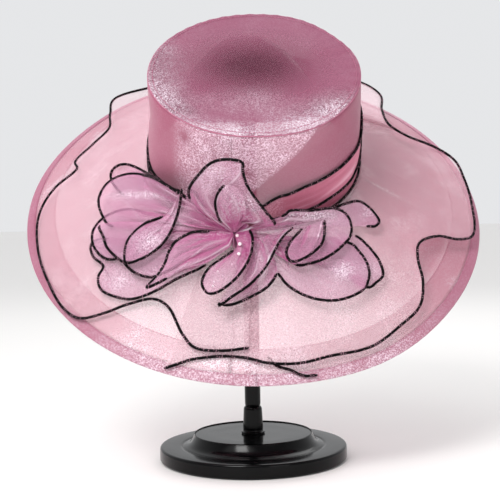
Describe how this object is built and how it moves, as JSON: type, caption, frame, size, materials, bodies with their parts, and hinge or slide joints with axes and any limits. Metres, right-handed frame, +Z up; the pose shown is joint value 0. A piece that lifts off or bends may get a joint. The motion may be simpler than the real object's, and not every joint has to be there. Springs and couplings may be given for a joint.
{
  "type": "summer hat on display stand",
  "caption": "Wide-brimmed sheer summer hat with a tall round crown, corded ruffle, folded sash and a large fabric flower, tilted on a round-based display stand.",
  "frame": {"origin": "middle of the stand's underside, on the pole's axis", "axes": "+Z up along the pole, -Y towards the viewer, who sees the hat's flower and the top of its crown, +X to the viewer's right"},
  "size_m": [0.431, 0.3575, 0.4108],
  "materials": {
    "crown_organza": "sheer with fine sparkle",
    "brim_organza": "sheer with fine sparkle",
    "rose_binding": "satin",
    "ruffle_organza": "sheer with fine sparkle",
    "sash_organza": "sheer satin",
    "petal_organza": "sheer with fine sparkle",
    "knot_organza": "sheer satin",
    "black_cord": "matte overlock stitch",
    "black_plastic": "gloss"
  },
  "bodies": {
    "root": {"crown_side": "crown_organza", "crown_tip": "crown_organza", "brim": "brim_organza", "brim_binding": "rose_binding", "ruffle": "ruffle_organza", "ruffle_cord": "black_cord", "ruffle_tail_cord": "black_cord", "sash_lower": "sash_organza", "sash_upper": "sash_organza", "sash_cord_lower": "black_cord", "sash_cord_fold": "black_cord", "sash_cord_upper": "black_cord", "petal_back_loop": "petal_organza", "cord_back_loop": "black_cord", "petal_left_lower": "petal_organza", "cord_left_lower": "black_cord", "petal_left_middle": "petal_organza", "cord_left_middle": "black_cord", "petal_left_upper": "petal_organza", "cord_left_upper": "black_cord", "petal_left_under": "petal_organza", "cord_left_under": "black_cord", "petal_left_wing": "petal_organza", "cord_left_wing": "black_cord", "petal_left_neck": "petal_organza", "cord_left_neck": "black_cord", "petal_left_front": "petal_organza", "cord_left_front": "black_cord", "petal_right_outer": "petal_organza", "cord_right_outer": "black_cord", "petal_right_upper": "petal_organza", "cord_right_upper": "black_cord", "petal_right_lower": "petal_organza", "cord_right_lower": "black_cord", "petal_long_back": "petal_organza", "cord_long_back": "black_cord", "petal_right_main": "petal_organza", "cord_right_main": "black_cord", "petal_right_lip": "petal_organza", "cord_right_lip": "black_cord", "petal_long_front": "petal_organza", "cord_long_front": "black_cord", "petal_pointed": "petal_organza", "cord_pointed": "black_cord", "petal_upper": "petal_organza", "cord_upper": "black_cord", "petal_curl": "petal_organza", "cord_curl": "black_cord", "petal_oblong": "petal_organza", "cord_oblong": "black_cord", "flower_knot": "knot_organza", "stand_base": "black_plastic", "stand_sleeve": "black_plastic", "stand_pole": "black_plastic", "stand_head": "black_plastic"}
  },
  "joints": []
}
